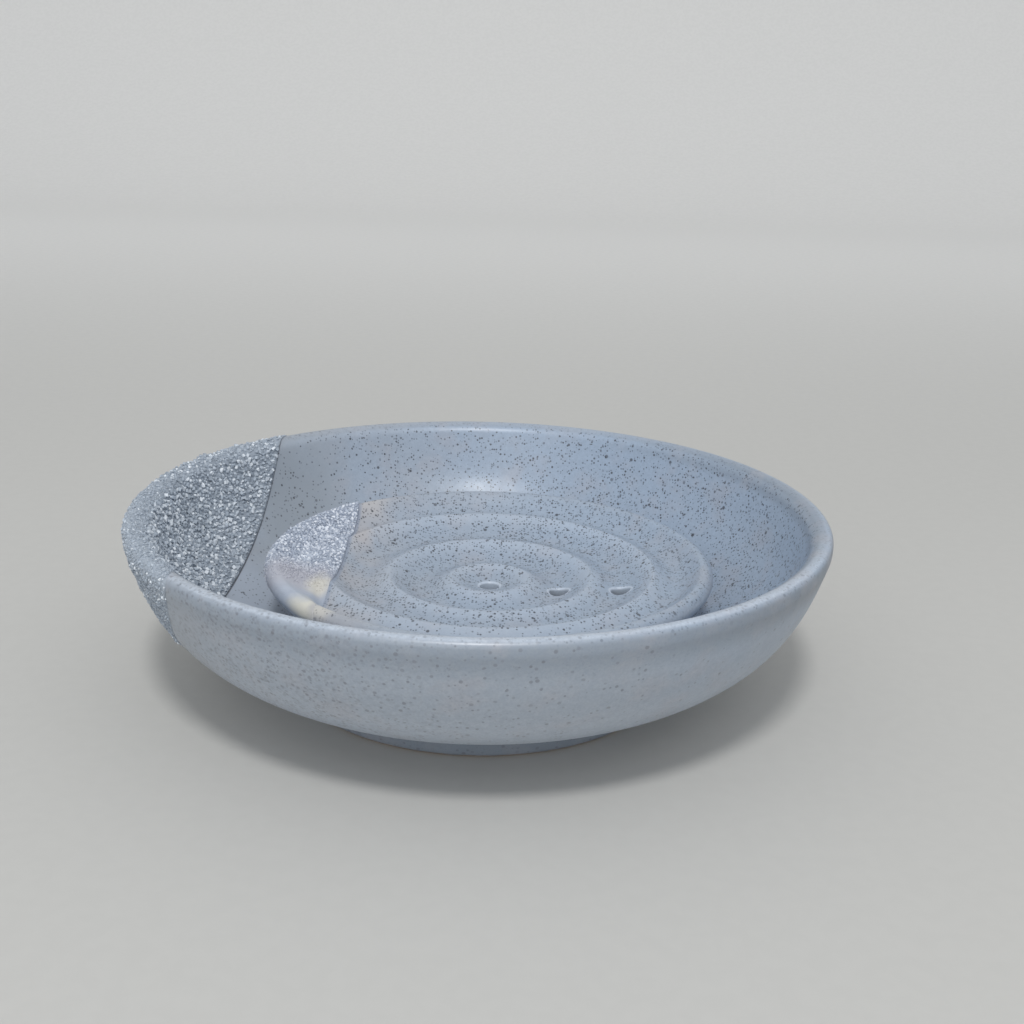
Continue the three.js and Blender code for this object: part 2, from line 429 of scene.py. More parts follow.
class Shading:
    """A material under construction."""

    def __init__(self, name: str) -> None:
        """Starts an empty material.

        Args:
            name: What the material is called.
        """
        self.material = bpy.data.materials.new(name)
        self.material.use_nodes = True
        self.tree = self.material.node_tree
        self.tree.nodes.clear()
        self.coords = self.node("ShaderNodeTexCoord", out="Object")

    def node(
        self,
        kind: str,
        settings: dict[str, object] | None = None,
        sockets: dict[str | int, object] | None = None,
        out: str | int = 0,
    ) -> Wire:
        """Adds one node.

        Args:
            kind: The node's type.
            settings: Its own properties, set first.
            sockets: Values or wires for its inputs, by name or number.
            out: The output to give back.

        Returns:
            That output.
        """
        added = self.tree.nodes.new(kind)
        for key, value in (settings or {}).items():
            setattr(added, key, value)
        for key, value in (sockets or {}).items():
            if isinstance(value, Wire):
                self.tree.links.new(value.socket, added.inputs[key])
            else:
                added.inputs[key].default_value = value
        return Wire(self, added.outputs[out])

    def math(self, operation: str, first: Signal, second: Signal = 0.0) -> Wire:
        """Adds a Math node.

        Args:
            operation: What it does.
            first: Its first number.
            second: Its second number.

        Returns:
            The result.
        """
        return self.node("ShaderNodeMath", {"operation": operation}, {0: first, 1: second})

    def ramp(self, value: Wire, start: float, end: float) -> Wire:
        """Rises smoothly from 0 at start to 1 at end, which may lie below start.

        Args:
            value: What to look at.
            start: The value that gives 0.
            end: The value that gives 1.

        Returns:
            A share from 0 to 1.
        """
        low, high = sorted((start, end))
        rising = self.node(
            "ShaderNodeMapRange",
            {"interpolation_type": "SMOOTHSTEP"},
            {"Value": value, "From Min": low, "From Max": high},
        )
        return rising if start < end else 1.0 - rising

    def mix(self, share: Signal, first: Paint, second: Paint) -> Wire:
        """Mixes two colours.

        Args:
            share: How much of the second one.
            first: The first colour.
            second: The second colour.

        Returns:
            The mixed colour.
        """
        return self.node("ShaderNodeMix", {"data_type": "RGBA"}, {0: share, 6: first, 7: second}, out=2)

    def cloud(self, size: float, detail: float = 2.0, seed: Vector = Vector()) -> Wire:
        """Adds soft noise.

        Args:
            size: The size of its patches, in metres.
            detail: How many finer layers it has.
            seed: A shift that gives another pattern.

        Returns:
            A value about 0.5.
        """
        where = self.node("ShaderNodeVectorMath", {"operation": "ADD"}, {0: self.coords, 1: seed}, "Vector")
        return self.node("ShaderNodeTexNoise", {}, {"Vector": where, "Scale": 1 / size, "Detail": detail}, "Fac")

    def specks(self, kind: Specks, share: Signal) -> Wire:
        """Scatters one kind of speck.

        Args:
            kind: How large they are and how far apart.
            share: How many of the places hold a grain, from 0 to 1.

        Returns:
            How dark the speck at a place is, from 0 between the specks to 1.
        """
        where = self.node("ShaderNodeVectorMath", {"operation": "ADD"}, {0: self.coords, 1: kind.seed}, "Vector")
        distance = self.node("ShaderNodeTexVoronoi", {}, {"Vector": where, "Scale": 1 / kind.spacing}, "Distance")
        chance = self.node("ShaderNodeSeparateColor", {}, {"Color": distance.also("Color")}, "Red")
        radius = kind.smallest + (kind.largest - kind.smallest) * chance.also("Green") ** 2.0
        radius = radius * (1 / kind.spacing)
        near = self.node(
            "ShaderNodeMapRange",
            {"interpolation_type": "SMOOTHSTEP"},
            {"Value": distance, "From Min": radius * 0.7, "From Max": radius * 1.25, "To Min": 1.0, "To Max": 0.0},
        )
        return near * self.math("LESS_THAN", chance, share) * (0.45 + 0.55 * chance.also("Blue"))

    def trace(self, trace: Trace) -> Wire:
        """Reads a value that the mesh carries."""
        return self.node("ShaderNodeAttribute", {"attribute_name": trace.value}, out="Fac")

    def along(self, direction: Vector, origin: Vector = Vector()) -> Wire:
        """Measures how far a place lies from an origin along a direction, in metres."""
        dot = self.node("ShaderNodeVectorMath", {"operation": "DOT_PRODUCT"}, {0: self.coords, 1: direction}, "Value")
        return dot - direction.dot(origin)

    def over(self, level: float) -> Wire:
        """Measures how high a place lies over a level, in metres."""
        return self.along(UP, Vector((0.0, 0.0, level)))

    def beyond(self, edge: StraightEdge) -> Wire:
        """Measures how far a place lies beyond a straight edge, in metres."""
        back = self.math("MAXIMUM", self.along(BACK, Vector((0.0, edge.bend_from, 0.0))))
        return self.along(edge.normal, edge.origin) + edge.bend_rate * back * back

    def distance(self, origin: Vector, scale: Vector = Vector((1.0, 1.0, 1.0))) -> Wire:
        """Measures how far a place lies from a point.

        Args:
            origin: The point.
            scale: How much each direction counts.

        Returns:
            The distance in metres.
        """
        away = self.node("ShaderNodeVectorMath", {"operation": "SUBTRACT"}, {0: self.coords, 1: origin}, "Vector")
        scaled = self.node("ShaderNodeVectorMath", {"operation": "MULTIPLY"}, {0: away, 1: scale}, "Vector")
        return self.node("ShaderNodeVectorMath", {"operation": "LENGTH"}, {0: scaled}, "Value")

    def radius(self, axis: Vector) -> Wire:
        """Measures how far a place lies from an upright axis, in metres."""
        return self.distance(axis, Vector((1.0, 1.0, 0.0)))

    def blushed(self, colour: Wire, blushes: tuple[Blush, ...]) -> Wire:
        """Lays soft patches of other tones over a colour.

        Args:
            colour: The colour without them.
            blushes: The patches, the lowest one first.

        Returns:
            The colour with them.
        """
        for blush in blushes:
            away = self.distance(blush.centre, blush.scale) + 3 * MM * (self.cloud(4 * MM) - 0.5)
            colour = self.mix(0.85 * self.ramp(away, blush.reach, 0.25 * blush.reach), colour, blush.tone)
        return colour

    def finish(
        self, colour: Paint, roughness: Signal, height: Wire | None, relief: float, index: float = 1.5
    ) -> bpy.types.Material:
        """Closes the material with its surface.

        Args:
            colour: The base colour.
            roughness: The roughness.
            height: The relief, from 0 to 1, or none.
            relief: How far a height of 1 stands out, in metres.
            index: How strongly it bends light, and so how bright it gleams.

        Returns:
            The finished material.
        """
        sockets: dict[str | int, object] = {"Base Color": colour, "Roughness": roughness, "IOR": index}
        if height is not None:
            sockets["Normal"] = self.node("ShaderNodeBump", {}, {"Strength": 1.0, "Distance": relief, "Height": height})
        surface = self.node("ShaderNodeBsdfPrincipled", {}, sockets)
        self.node_output(surface)
        return self.material

    def node_output(self, surface: Wire) -> None:
        """Links the surface to the material's output."""
        output = self.tree.nodes.new("ShaderNodeOutputMaterial")
        self.tree.links.new(surface.socket, output.inputs["Surface"])


@dataclass(frozen=True)
class SpeckledGlaze:
    """Satin blue-grey glaze, full of dark specks inside the pot and calmer outside.

    Attributes:
        name: What it is called.
        foot_level: The height of the pot's bare foot.
        lip_level: The height of the top of its lip.
        lip_radius: The radius of the top of its lip.
        lip_highlight: How strong the painted highlight on the top of the lip is, in front.
        face_shading: How strong the painted shade is just under the lip, most of all on the right, where it also
            reaches inside.
        seam: The edge of the grit.
        seam_colour: The colour of the painted shadow line along that edge.
        seam_strength: How plain that line is.
        seam_width: How far it reaches.
        seam_end: How far under the top of the lip it fades out, in front.
        halo: What the glaze looks like near that edge.
        halo_width: How far that reaches.
        few: How many specks lie on the left, as a share of all that could.
        many: How many specks lie on the right.
        front_share: How many of them are left on the front of the pot.
        axis: The foot of the pot's axis.
        crests: Radii of ring crests, painted paler as a highlight against the shaded grooves.
        holes: Places of the drain holes, with paler pooled glaze and a painted highlight on their edges and shade
            inside.
        hole_radius: Their radius.
        blushes: Patches of other tones, one of them painted light.
        fine: The fine specks.
        coarse: The coarse specks.
        soft: The soft specks outside.
        cool: The blue of the glaze.
        grey: The grey of the glaze.
        pale: Painted bounce light low outside and painted highlights on crests and hole edges, where glaze also pools.
        worn_and_sheen: The colour of the painted highlight on the top of the lip.
        shaded: The colour of the painted shade on the foot, under the lip, in the plate's grooves and down in the
            holes.
        iron: The colour of the specks inside.
        rust: The colour of the specks outside.
        blush: The colour of its warmer clouds.
        mottle: The colour of its small clouds.
        grain: The colour of its fine grain.
        clay: The colour of the bare foot.
        burnt: The colour of darker places there.
        gloss: How strongly the glaze bends light, and so how bright it gleams.
        relief: How uneven the glaze is, in metres.
    """

    name: str
    foot_level: float
    lip_level: float
    lip_radius: float
    lip_highlight: float
    face_shading: float
    seam: StraightEdge
    seam_colour: Colour
    seam_strength: float
    seam_width: float
    seam_end: float
    halo: Colour
    halo_width: float
    few: float
    many: float
    front_share: float
    axis: Vector
    crests: tuple[float, ...] = ()
    holes: tuple[Vector, ...] = ()
    hole_radius: float = 0.0
    blushes: tuple[Blush, ...] = ()
    fine: Specks = Specks(0.5 * MM, 0.135 * MM, 0.28 * MM)
    coarse: Specks = Specks(1.4 * MM, 0.20 * MM, 0.42 * MM, (0.31, 0.17, 0.05))
    soft: Specks = Specks(0.85 * MM, 0.17 * MM, 0.38 * MM, (0.11, 0.57, 0.35))
    cool: Colour = srgb("9daec2")
    grey: Colour = srgb("a4adb8")
    pale: Colour = srgb("cdd7e4")
    worn_and_sheen: Colour = srgb("d2dce8")
    shaded: Colour = srgb("7a848f")
    iron: Colour = srgb("32353d")
    rust: Colour = srgb("6b6d74")
    blush: Colour = srgb("b0abae")
    mottle: Colour = srgb("8491a3")
    grain: Colour = srgb("7c8798")
    clay: Colour = srgb("b39c86")
    burnt: Colour = srgb("8f7a68")
    gloss: float = 1.62
    relief: float = 0.035 * MM

    def material(self) -> bpy.types.Material:
        """Makes the material.

        Returns:
            The glaze, with its specks, its seam and its bare foot.
        """
        s = Shading(self.name)
        outside = s.trace(Trace.OUTSIDE)
        beyond = s.beyond(self.seam)
        colour = self.body(s, outside)
        near = s.ramp(abs(beyond), self.halo_width, 0.0)
        colour = s.mix(0.7 * near * s.ramp(s.cloud(9 * MM), 0.25, 0.6), colour, self.halo)
        colour = s.blushed(self.ring_and_hole_light(s, colour), self.blushes)
        colour = self.specked(s, colour, outside)
        # Painted shadow: a dark line along the grit's edge, inside the pot.
        colour = s.mix(self.seam_line(s, beyond) * (1.0 - outside), colour, self.seam_colour)
        ragged = s.over(self.foot_level) + 0.5 * MM * s.cloud(2.5 * MM)
        bare = s.ramp(ragged, 0.75 * MM, 0.55 * MM)
        colour = s.mix(bare, colour, s.mix(s.cloud(0.6 * MM, 3.0), self.clay, self.burnt))
        roughness = 0.32 + 0.12 * s.cloud(5 * MM) + 0.3 * bare
        height = 0.7 * s.cloud(1.6 * MM, 1.0) + 0.3 * s.cloud(0.5 * MM, 1.0)
        return s.finish(colour, roughness, height, self.relief, self.gloss)

    def seam_line(self, s: Shading, beyond: Wire) -> Wire:
        """Finds the painted shadow line along the grit's edge, which fades out on the lip in front.

        Args:
            s: The material under construction.
            beyond: How far a place lies beyond the edge.

        Returns:
            How plain the line is at a place.
        """
        line = s.ramp(abs(beyond + 0.10 * MM), self.seam_width, 0.3 * self.seam_width)
        upper = s.ramp(s.over(self.lip_level), -self.seam_end, -0.6 * self.seam_end)
        front = s.ramp(s.along(BACK), 8 * MM, -8 * MM)
        return line * (1.0 - upper * front) * self.seam_strength

    def body(self, s: Shading, outside: Wire) -> Wire:
        """Clouds the glaze between its blue and its grey, then paints light and shade on the foot, the wall and the
        lip.

        Args:
            s: The material under construction.
            outside: 1 outside the pot and 0 inside.

        Returns:
            The colour of the glaze without specks.
        """
        sideways = s.ramp(s.along(Vector((1.0, 0.25, 0.0))), 55 * MM, -60 * MM)
        share = 0.75 * sideways + 0.9 * (s.cloud(28 * MM, 3.0) - 0.5) + 0.5 * outside
        colour = s.mix(s.ramp(share, 0.0, 0.9), self.cool, self.grey)
        height = s.over(self.foot_level)
        # Painted shade darkens the foot outside, where it stands in the bowl's own shadow.
        foot = s.ramp(height, 6 * MM, 4.3 * MM)
        # Painted bounce light pales the wall low on the outside.
        low = s.ramp(height, 24 * MM, 8 * MM) * (1.0 - foot)
        colour = s.mix(0.5 * low * outside, colour, self.pale)
        colour = s.mix(0.65 * foot * outside, colour, self.shaded)
        level = s.over(self.lip_level)
        right = s.ramp(s.along(RIGHT), 15 * MM, 60 * MM)
        # Painted shade on the outer face just under the lip, stronger on the right.
        face = s.ramp(level, -8 * MM, -2.5 * MM) * s.ramp(level, -0.08 * MM, -0.7 * MM)
        colour = s.mix((0.7 + 0.55 * right) * self.face_shading * face * outside, colour, self.shaded)
        # Painted shade on the inner side of the lip on the right.
        inner = self.lip_radius + 0.5 * MM
        within = s.ramp(s.radius(self.axis), inner, inner - 1.2 * MM)
        colour = s.mix(0.7 * self.face_shading * right * within * s.ramp(level, -4 * MM, -2 * MM), colour, self.shaded)
        # Painted highlight: the top of the lip is paled in front, where the light catches it.
        front = s.ramp(s.along(BACK), 0.0, -40 * MM)
        colour = s.mix(self.lip_highlight * s.ramp(level, -0.4 * MM, -0.05 * MM) * front, colour, self.worn_and_sheen)
        warm = s.ramp(s.cloud(6 * MM, 3.0, Vector((0.2, 0.9, 0.4))), 0.45, 0.75)
        colour = s.mix(0.3 * warm, colour, self.blush)
        mottle = s.ramp(s.cloud(1.1 * MM, 3.0), 0.3, 0.7)
        colour = s.mix(0.22 * mottle, colour, self.mottle)
        grain = s.ramp(s.cloud(0.4 * MM, 1.0, Vector((0.6, 0.3, 0.8))), 0.35, 0.65)
        return s.mix(0.16 * grain, colour, self.grain)

    def ring_and_hole_light(self, s: Shading, colour: Wire) -> Wire:
        """Paints light on ring crests and hole edges, where glaze also pools, and shade in the grooves and down the
        holes.

        Args:
            s: The material under construction.
            colour: The colour of the glaze.

        Returns:
            The colour with all three.
        """
        if self.crests:
            radius = s.radius(self.axis)
            # Painted shade over the rings, lifted on each crest by a painted highlight.
            colour = s.mix(0.16, colour, self.shaded)
            for crest in self.crests:
                ridge = s.ramp(abs(radius - crest), 3.6 * MM, 0.4 * MM)
                colour = s.mix(0.22 * ridge, colour, self.pale)
        for hole in self.holes:
            away = s.radius(hole)
            # The glaze pools paler round each hole, with a painted highlight on its rounded edge.
            pooled_and_lit = s.ramp(away, self.hole_radius + 0.7 * MM, self.hole_radius + 0.25 * MM)
            colour = s.mix(0.6 * pooled_and_lit, colour, self.pale)
            # Painted shade down in each hole.
            deep = s.ramp(away, self.hole_radius + 0.15 * MM, self.hole_radius + 0.02 * MM)
            colour = s.mix(0.25 * deep, colour, self.shaded)
        return colour

    def specked(self, s: Shading, colour: Wire, outside: Wire) -> Wire:
        """Adds the specks.

        Args:
            s: The material under construction.
            colour: The colour of the glaze.
            outside: 1 outside the pot and 0 inside.

        Returns:
            The specked colour.
        """
        patchy = s.ramp(s.cloud(12 * MM, 2.0, Vector((0.7, 0.2, 0.9))), 0.3, 0.7)
        rightward = s.ramp(s.along(RIGHT), -60 * MM, 45 * MM)
        backward = s.ramp(s.along(BACK), -37 * MM, -22 * MM)
        crowd = self.few + (self.many - self.few) * rightward + 0.2 * (patchy - 0.5)
        crowd = crowd * (self.front_share + (1.0 - self.front_share) * backward)
        fine = s.specks(self.fine, crowd)
        coarse = s.specks(self.coarse, 0.8 * crowd)
        soft = s.specks(self.soft, 0.95 + 0.2 * patchy - 0.95 * rightward)
        freckled = s.ramp(s.cloud(0.8 * MM, 2.0, Vector((0.4, 0.8, 0.1))), 0.50, 0.68) * s.ramp(rightward, 0.9, 0.0)
        inside = 1.0 - outside
        for hole in self.holes:
            inside = inside * s.ramp(s.radius(hole), self.hole_radius, self.hole_radius + 0.5 * MM)
        colour = s.mix(0.32 * freckled * outside, colour, self.rust)
        colour = s.mix(0.62 * soft * outside, colour, self.rust)
        colour = s.mix(fine * (0.95 * inside + 0.08 * outside), colour, self.iron)
        return s.mix(coarse * (0.95 * inside + 0.1 * outside), colour, self.iron)


@dataclass(frozen=True)
class Grit:
    """Pale fired-on grains in a darker bed.

    Attributes:
        name: What it is called.
        gap: The colour of the bed between the grains.
        middle: The colour of an ordinary grain.
        bright: The colour of the brightest grains.
        rough: The roughness.
        relief: How uneven a grain is, in metres.
        blushes: Patches of cream or pink glaze, and bluish painted shade along the edge.
    """

    name: str
    gap: Colour = srgb("87909b")
    middle: Colour = srgb("acb6c1")
    bright: Colour = srgb("e2e8ee")
    rough: float = 0.5
    relief: float = 0.04 * MM
    blushes: tuple[Blush, ...] = ()

    def material(self) -> bpy.types.Material:
        """Makes the material.

        Returns:
            The grit, with each grain in its own shade.
        """
        s = Shading(self.name)
        shade = s.trace(Trace.SHADE)
        colour = s.mix(s.ramp(shade, 0.05, 0.5), self.gap, self.middle)
        colour = s.mix(s.ramp(shade, 0.5, 1.0), colour, self.bright)
        colour = s.mix(0.25 * s.ramp(s.cloud(0.4 * MM, 2.0), 0.35, 0.7), colour, self.middle)
        colour = s.blushed(colour, self.blushes)
        height = s.cloud(0.35 * MM, 2.0)
        return s.finish(colour, self.rough + 0.1 * (s.cloud(1.0 * MM) - 0.5), height, self.relief)


@dataclass(frozen=True)
class PaleGround:
    """The plain pale ground that the dish stands on.

    Attributes:
        name: What it is called.
        tone: Its colour round the dish.
        far_tone: Its colour far behind, where less light falls.
        fleck: The colour of its faint clouds.
    """

    name: str = "pale_ground"
    tone: Colour = srgb("c1c0bc")
    far_tone: Colour = srgb("e9e8e5")
    fleck: Colour = srgb("aaa9a6")

    def material(self) -> bpy.types.Material:
        """Makes the material.

        Returns:
            The ground, evenly pale from front to back.
        """
        s = Shading(self.name)
        back = s.ramp(s.along(BACK), 0.1, 0.8)
        colour = s.mix(back, self.tone, self.far_tone)
        colour = s.mix(0.06 * s.ramp(s.cloud(3 * MM, 4.0), 0.35, 0.65), colour, self.fleck)
        return s.finish(colour, 0.7 + 0.05 * s.cloud(8 * MM), None, 0.0)


Finish = SpeckledGlaze | Grit


@dataclass(frozen=True)
class Piece:
    """One piece of the finished dish.

    Attributes:
        name: What the piece is called.
        body: The body that it rides on.
        slot: The material slot for its finish; not used.
        node: The node that it stands for.
    """

    name: str
    body: Body
    slot: Slot
    node: str

    def add(
        self, shape: bmesh.types.BMesh, finish: Finish, facets: Callable[[bmesh.types.BMFace], bool]
    ) -> bpy.types.Object:
        """Makes the piece an object of the scene.

        Args:
            shape: Its mesh, which is used up.
            finish: Its finish.
            facets: Tells which faces stay flat.

        Returns:
            The object.
        """
        for face in shape.faces:
            face.smooth = not facets(face)
        mesh = bpy.data.meshes.new(self.name)
        shape.to_mesh(mesh)
        shape.free()
        mesh.materials.append(finish.material())
        piece = bpy.data.objects.new(self.name, mesh)
        bpy.context.scene.collection.objects.link(piece)
        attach(piece, self.body.value)
        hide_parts(self.node)
        return piece


def mark_outside(shape: bmesh.types.BMesh, wheel: Wheel, lip_level: float, lip_share: float) -> None:
    """Writes how much each vertex belongs to the outside of its pot.

    Args:
        shape: The pot.
        wheel: The wheel that it was turned on.
        lip_level: The height of the top of its lip.
        lip_share: How much the top of the lip belongs to the outside.
    """
    shape.normal_update()
    layer = shape.verts.layers.float.new(Trace.OUTSIDE.value)
    for vert in shape.verts:
        away = vert.co - wheel.centre
        away.z = 0.0
        turned_out = vert.normal.dot(away.normalized()) - vert.normal.z
        on_lip = lip_share * eased(vert.co.z, lip_level - 1.0 * MM, lip_level - 0.2 * MM)
        vert[layer] = max(eased(turned_out, -0.3, 0.7), on_lip)


@dataclass
class CatchBowl:
    """The bowl that stands on its foot ring and catches the water.

    Attributes:
        diameter: Over the lip.
        height: From the foot to the top of the lip.
        wall: Its thickness.
        lip_turn: Radius over which the wall turns upright under the lip.
        lip_face: Upright height of the lip.
        lip_corner: Outer radius of the lip, from its face to its top.
        floor: Thickness inside the foot ring.
        foot_diameter: Where it stands.
        foot_width: Width of the foot ring.
        foot_height: Where the belly leaves the foot.
        foot_flare: How much further out the foot is at its top.
        belly_rise: Degrees above level, where the belly leaves the foot.
        wall_lean: Degrees off plumb, just under the lip.
        wheel: The wheel that it is turned on.
        piece: The piece that it makes.
    """

    diameter: float = 130 * MM
    height: float = 34 * MM
    wall: float = 4 * MM
    lip_turn: float = 4 * MM
    lip_face: float = 0.5 * MM
    lip_corner: float = 1.3 * MM
    floor: float = 4 * MM
    foot_diameter: float = 72 * MM
    foot_width: float = 4.5 * MM
    foot_height: float = 4.9 * MM
    foot_flare: float = 1.7 * MM
    belly_rise: float = 16.0
    wall_lean: float = 17.0
    wheel: Wheel = field(default_factory=lambda: Wheel(centre=Vector(), steps=240))
    piece: Piece = Piece("bowl_glazed", Body.BOWL, Slot.GLAZE, "bowl")

    @property
    def grit_edge(self) -> StraightEdge:
        """The edge of the bowl's grit."""
        return StraightEdge(
            wheel=self.wheel,
            distance=46.8 * MM,
            angle=178.7,
            tilt=6.5,
            height=self.height,
            bend_from=41.5 * MM,
            bend_rate=0.04 / MM,
        )

    @property
    def corner_centre(self) -> Vector:
        """The middle of the lip's outer corner."""
        return Vector((self.diameter / 2 - self.lip_corner, self.height - self.lip_corner))

    @property
    def turn_centre(self) -> Vector:
        """The middle of the turn under the lip."""
        return Vector((self.diameter / 2 - self.lip_turn, self.corner_centre.y - self.lip_face))

    def outside(self) -> Outline:
        """Draws the outside from the foot to the lip.

        Returns:
            The outline as radius and height.
        """
        start = Vector((self.foot_diameter / 2 + self.foot_flare, self.foot_height))
        end = on_circle(self.turn_centre, self.lip_turn, -math.radians(self.wall_lean))
        return wall_outside(start, end, self.belly_rise, self.wall_lean, 44)

    def lip(self, distance: float) -> Outline:
        """Draws the lip, which turns upright and then rolls over, tight outside and wide inside.

        Args:
            distance: How far off the lip to draw it.

        Returns:
            The outline from the outside to the inside.
        """
        lean = math.radians(self.wall_lean)
        corner = self.corner_centre
        across = Vector((corner.x, self.height)) - self.inside()[0]
        wide = (across.x * math.cos(lean) - across.y * math.sin(lean)) / (1 - math.sin(lean))
        turn = arc(self.turn_centre, self.lip_turn + distance, -lean, 0.0, 6)
        outer = arc(corner, self.lip_corner + distance, 0.0, math.pi / 2, 9)
        inner = arc(Vector((corner.x, self.height - wide)), wide + distance, math.pi / 2, math.pi - lean, 14)
        return [*turn, *outer, *inner[1:]]

    def inside(self) -> Outline:
        """Draws the inside from the lip to the floor."""
        return moved_sideways(self.outside(), -self.wall)[::-1]

    @property
    def floor_top(self) -> float:
        """Height of the floor inside the bowl."""
        return self.inside()[-1].y

    def skin(self, distance: float) -> Outline:
        """Draws the wall from the foot over the lip to the floor.

        Args:
            distance: How far off the wall to draw it.

        Returns:
            The outline as radius and height.
        """
        lip = self.lip(distance)
        inside = moved_sideways(self.inside(), distance)
        return [
            *moved_sideways(self.outside(), distance)[:-1],
            *lip,
            *(point for point in inside if point.y < lip[-1].y - 0.1 * MM),
        ]

    def build(self) -> bmesh.types.BMesh:
        """Turns the bowl and rounds its foot.

        Returns:
            The bowl's mesh.
        """
        foot = self.foot_diameter / 2
        inner = foot - self.foot_width
        ceiling = self.floor_top - self.floor
        corners = {
            Vector((inner, ceiling)).freeze(): 1.2 * MM,
            Vector((inner, 0.0)).freeze(): 0.8 * MM,
            Vector((foot, 0.0)).freeze(): 0.9 * MM,
            Vector((foot + self.foot_flare, self.foot_height)).freeze(): 0.9 * MM,
        }
        above, inside_foot, under_foot, shoulder = corners
        outline = [
            Vector((0.0, ceiling)),
            *in_steps(Vector((0.0, ceiling)), above, 10),
            *in_steps(above, inside_foot, 3),
            *in_steps(inside_foot, under_foot, 3),
            *in_steps(under_foot, shoulder, 4),
            *self.skin(0.0)[1:],
        ]
        outline += in_steps(outline[-1], Vector((0.0, self.floor_top)), 12)
        shape = self.wheel.throw(outline, closed=False)
        for corner, size in corners.items():
            self.wheel.round_off(shape, corner, size)
        mark_outside(shape, self.wheel, self.height, 0.75)
        return shape

    def dress(self) -> bpy.types.Object:
        """Makes the glazed bowl.

        Returns:
            The finished piece.
        """
        glaze = SpeckledGlaze(
            name="bowl_glaze",
            foot_level=0.0,
            lip_level=self.height,
            lip_radius=self.corner_centre.x,
            lip_highlight=0.5,
            face_shading=0.75,
            seam=self.grit_edge,
            seam_colour=srgb("4c5058"),
            seam_strength=0.85,
            seam_width=0.3 * MM,
            seam_end=3.5 * MM,
            halo=srgb("979ea7"),
            halo_width=18 * MM,
            few=0.17,
            many=0.47,
            front_share=1.0,
            axis=self.wheel.centre,
            blushes=(
                Blush(Vector((-41.0, 37.0, 22.5)) * MM, Vector((1.0, 1.0, 1.0)), 17 * MM, srgb("9099a3")),
                # A paler patch low on the left inside, painted light that lifts the plate's shadow there.
                Blush(Vector((-46.0, 6.0, 13.5)) * MM, Vector((1.0, 0.7, 1.0)), 11 * MM, srgb("acb6c4")),
            ),
        )
        return self.piece.add(self.build(), glaze, lambda face: False)


